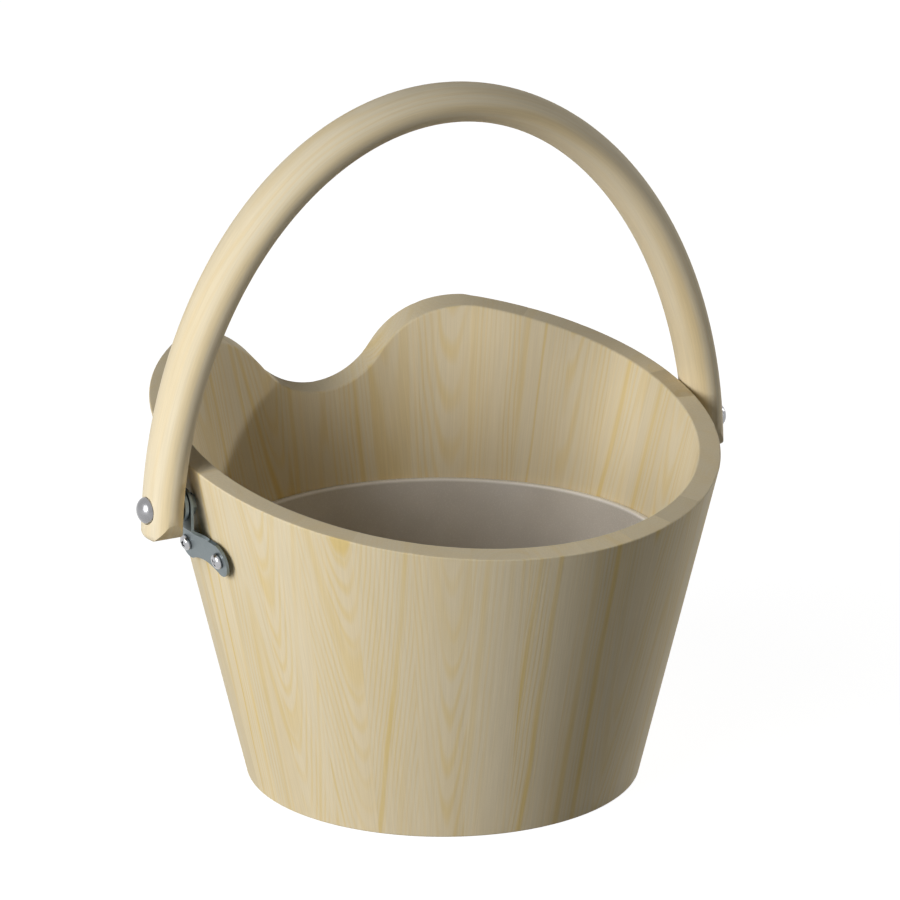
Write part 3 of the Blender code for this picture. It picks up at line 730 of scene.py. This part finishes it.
for side, sign in sides.items():
    finishPiece(makeBolt(side, sign), "handle", "bolt_steel", boltSteel, f"bolt_{side}")
    finishPiece(makeWasher(side, sign), "handle", "zinc_sheet", zincSheet, f"washer_{side}")
    finishPiece(makeNut(side, sign), "handle", "zinc_sheet", zincSheet, f"nut_{side}", sharp=30.0)
print("pivot fasteners made")


# brackets: a flat wing screwed to the wall and a joggled tongue for the bolt

bracket = dict(tongueRadius=0.0086, webRise=0.0057, wingGap=0.0010, wingDrop=0.0255, lobeRadius=0.0081,
               spread=0.0168, waist=0.0034, fillet=0.0025, edge=0.0003, edgeTurn=1.2, bendMargin=0.0012,
               bendCuts=14)
screw = dict(radius=0.002, length=0.0115, point=0.003, headRadius=0.004, headHeight=0.0026, roundShare=0.75,
             flatShare=1.6, flatDrop=0.0001, roundDrop=0.0003, roundTurn=1.2, steps=48, crossLong=0.0052,
             crossWide=0.0013, crossDeep=0.0019, crossTaper=(0.55, 0.8, 1.0))
# which end, its way along Y and the twist of the cross
screwEnds = (("front", -1.0, 0.5), ("back", 1.0, 1.1))
wingHeight = pivotHeight - bracket["wingDrop"]
wallTilt = math.atan(bucket["taper"])


def wingFace(z):
    return wallRadius(z) + (bracket["wingGap"] + fasten["sheet"]) / math.cos(wallTilt)


def bracketOutline():
    # seen along X: two screw lobes, a waist between them and a round tongue
    top = wingHeight + bracket["lobeRadius"]
    centreGap = (bracket["spread"] ** 2 + bracket["waist"] ** 2) / (2.0 * bracket["waist"])
    drop = centreGap - bracket["waist"]
    lean = math.atan2(drop, bracket["spread"])
    half = arcPoints((0.0, wingHeight - drop), centreGap - bracket["lobeRadius"], math.pi / 2.0, lean, 8)
    half += arcPoints((bracket["spread"], wingHeight), bracket["lobeRadius"], math.pi + lean,
                      2.5 * math.pi, 28)[1:]
    corner = (bracket["tongueRadius"] + bracket["fillet"], top + bracket["fillet"])
    half += arcPoints(corner, bracket["fillet"], 1.5 * math.pi, math.pi, 8)
    half += arcPoints((0.0, pivotHeight), bracket["tongueRadius"], 0.0, math.pi / 2.0, 16)
    return half + [(-y, z) for y, z in half[-2:0:-1]]


def sheetFace(z):
    # how far out the sheet's outer face lies: along the wall, out over the web, then upright
    top = wingHeight + bracket["lobeRadius"]
    tongueFace = tongueInner + fasten["sheet"]
    share = (z - top) / bracket["webRise"]
    smooth = min(max(share, 0.0), 1.0)
    smooth = smooth * smooth * (3.0 - 2.0 * smooth) * 0.5 + smooth * 0.5
    return wingFace(min(z, top)) * (1.0 - smooth) + tongueFace * smooth


def makeBracket(side, sign):
    bm = bmesh.new()
    top = wingHeight + bracket["lobeRadius"]
    verts, _ = drawLine(bm, [(0.0, y, z) for y, z in bracketOutline()], closed=True)
    bm.faces.new(verts)
    margin, cuts = bracket["bendMargin"], bracket["bendCuts"]
    for step in range(cuts + 1):
        level = top - margin + (bracket["webRise"] + 2.0 * margin) * step / cuts
        bmesh.ops.bisect_plane(bm, geom=bm.verts[:] + bm.edges[:] + bm.faces[:], dist=weldGap,
                               plane_co=(0.0, 0.0, level), plane_no=(0.0, 0.0, 1.0))
    for vert in bm.verts:
        vert.co.x = sign * sheetFace(vert.co.z)
    bmesh.ops.recalc_face_normals(bm, faces=bm.faces)
    bmesh.ops.solidify(bm, geom=bm.faces[:], thickness=fasten["sheet"])
    bmesh.ops.recalc_face_normals(bm, faces=bm.faces)
    corners = [edge for edge in bm.edges
               if len(edge.link_faces) == 2 and edge.calc_face_angle() > bracket["edgeTurn"]]
    roundEdges(bm, corners, bracket["edge"], 2)
    piece = newObject("bracket" + side.capitalize(), bm)
    reach = Vector((2.0 * sign * tongueInner, 0, 0))
    holes = [rodBetween(fasten["boltRadius"] + fasten["gap"], pivot, pivot + reach)]
    for _, way, _ in screwEnds:
        place = screwPlace(sign, way)
        holes.append(rodBetween(screw["radius"] + fasten["gap"], place @ Vector((0, 0, -screw["length"])),
                                place @ Vector((0, 0, screw["headHeight"]))))
    cutAway(piece, holes)
    return piece


def screwPlace(sign, way):
    seat = wingFace(wingHeight) + fasten["gap"] / math.cos(wallTilt)
    turn = Matrix.Rotation(sign * (math.pi / 2.0 + wallTilt), 4, "Y")
    return Matrix.Translation((sign * seat, way * bracket["spread"], wingHeight)) @ turn


def makeScrew(side, end, sign, way, twist):
    roundOver = screw["headHeight"] * screw["roundShare"]
    quarter = math.pi / 2.0
    crown = screw["headHeight"]
    flat = screw["headRadius"] - screw["flatShare"] * roundOver
    points = [(0.0, crown), (flat, crown - screw["flatDrop"])]
    centre = (screw["headRadius"] - roundOver, crown - screw["roundDrop"] - roundOver)
    points += arcPoints(centre, roundOver, screw["roundTurn"], 0.0, 8)
    points += [(screw["headRadius"], 0.0), (screw["radius"], 0.0),
               (screw["radius"], screw["point"] - screw["length"]), (0.0, -screw["length"])]
    place = screwPlace(sign, way)
    bm = bmesh.new()
    turnProfile(bm, points, screw["steps"], place)
    piece = newObject(f"screw{side.capitalize()}{end.capitalize()}", bm)
    cutters = []
    for turn in (twist, twist + quarter):
        bm = bmesh.new()
        size = Matrix.Diagonal((screw["crossLong"], screw["crossWide"], 2.0 * screw["crossDeep"], 1.0))
        bmesh.ops.create_cube(bm, size=1.0, matrix=size)
        low = [vert for vert in bm.verts if vert.co.z < 0.0]
        bmesh.ops.scale(bm, vec=screw["crossTaper"], verts=low)
        move = Matrix.Translation((0, 0, crown)) @ Matrix.Rotation(turn, 4, "Z")
        bmesh.ops.transform(bm, matrix=place @ move, verts=bm.verts)
        cutters.append(bm)
    cutAway(piece, cutters)
    return piece


for side, sign in sides.items():
    finishPiece(makeBracket(side, sign), "bucket", "zinc_sheet", zincSheet, f"bracket_{side}")
    for end, way, twist in screwEnds:
        finishPiece(makeScrew(side, end, sign, way, twist), "bucket", "chrome_screw", chromeScrew,
                    f"screw_{side}_{end}", sharp=30.0)
print("brackets and screws made")


# floor, light and camera

stage = dict(floorSize=8.0, floorGlow=0.93, glowNear=0.25, glowFar=0.9, floorColour=(0.30, 0.30, 0.30, 1.0),
             ambient=0.045, lampAim=Vector((0.0, 0.0, 0.10)))
lamps = {
    "keyLamp": dict(turn=-74.0, lift=19.5, away=1.95, wide=0.42, tall=1.2, power=17.1),
    "softLamp": dict(turn=-74.0, lift=19.5, away=2.0, wide=1.5, tall=1.0, power=19.0),
    "frontLamp": dict(turn=50.0, lift=8.0, away=2.4, wide=0.6, tall=0.6, power=1.5),
    "sideLamp": dict(turn=88.3, lift=19.5, away=2.4, wide=0.08, tall=0.08, power=14.5),
}
camera = dict(turn=-29.876, lift=16.891, away=1.910546, aim=Vector((0.0, 0.0, 0.166324)), sensor=36.0,
              lens=153.389, shiftX=0.00789)


def outwards(turn, lift):
    # turn counts from the front towards +X, lift from the horizon, in degrees
    turn, lift = math.radians(turn), math.radians(lift)
    return Vector((math.sin(turn) * math.cos(lift), -math.cos(turn) * math.cos(lift), math.sin(lift)))


def seenDirectly(tree):
    # 1 for rays from the camera, in mirrors and through glass
    paths = addNode(tree, "ShaderNodeLightPath").outputs
    seen = mathNode(tree, "MAXIMUM", paths["Is Camera Ray"], paths["Is Glossy Ray"])
    return mathNode(tree, "MAXIMUM", seen, paths["Is Transmission Ray"])


def makeFloor():
    bm = bmesh.new()
    bmesh.ops.create_grid(bm, x_segments=1, y_segments=1, size=stage["floorSize"])
    floor = newObject("floor", bm)
    material = bpy.data.materials.new("paleFloor")
    material.use_nodes = True
    tree = material.node_tree
    tree.nodes.remove(tree.nodes["Principled BSDF"])
    plain = addNode(tree, "ShaderNodeBsdfDiffuse", {"Color": stage["floorColour"]})
    away = vectorNode(tree, "LENGTH", addNode(tree, "ShaderNodeTexCoord").outputs["Object"])
    level = rangeOf(tree, away, stage["glowNear"], stage["glowFar"], stage["floorGlow"], 1.0)
    level = mathNode(tree, "MULTIPLY", seenDirectly(tree), level)
    glow = addNode(tree, "ShaderNodeEmission", {"Strength": level})
    both = addNode(tree, "ShaderNodeAddShader", {0: plain.outputs[0], 1: glow.outputs[0]})
    tree.links.new(both.outputs[0], tree.nodes["Material Output"].inputs["Surface"])
    floor.data.materials.append(material)


def makeWorld():
    world = bpy.data.worlds.new("studio")
    world.use_nodes = True
    tree = world.node_tree
    tree.nodes["Background"].inputs["Color"].default_value = (1, 1, 1, 1)
    strength = rangeOf(tree, seenDirectly(tree), 0.0, 1.0, stage["ambient"], 1.0)
    tree.links.new(strength, tree.nodes["Background"].inputs["Strength"])
    scene.world = world


def makeLamp(name, lamp):
    data = bpy.data.lights.new(name, "AREA")
    data.shape = "RECTANGLE"
    data.size = lamp["wide"]
    data.size_y = lamp["tall"]
    data.energy = lamp["power"]
    back = outwards(lamp["turn"], lamp["lift"])
    holder = bpy.data.objects.new(name, data)
    holder.location = stage["lampAim"] + back * lamp["away"]
    holder.rotation_euler = back.to_track_quat("Z", "Y").to_euler()
    scene.collection.objects.link(holder)


def makeCamera():
    data = bpy.data.cameras.new("camera")
    data.sensor_width = camera["sensor"]
    data.lens = camera["lens"]
    data.shift_x = camera["shiftX"]
    back = outwards(camera["turn"], camera["lift"])
    holder = bpy.data.objects.new("camera", data)
    holder.location = camera["aim"] + back * camera["away"]
    holder.rotation_euler = back.to_track_quat("Z", "Y").to_euler()
    scene.collection.objects.link(holder)
    scene.camera = holder


makeFloor()
makeWorld()
for name, lamp in lamps.items():
    makeLamp(name, lamp)
makeCamera()
print("stage, lamps and camera made")
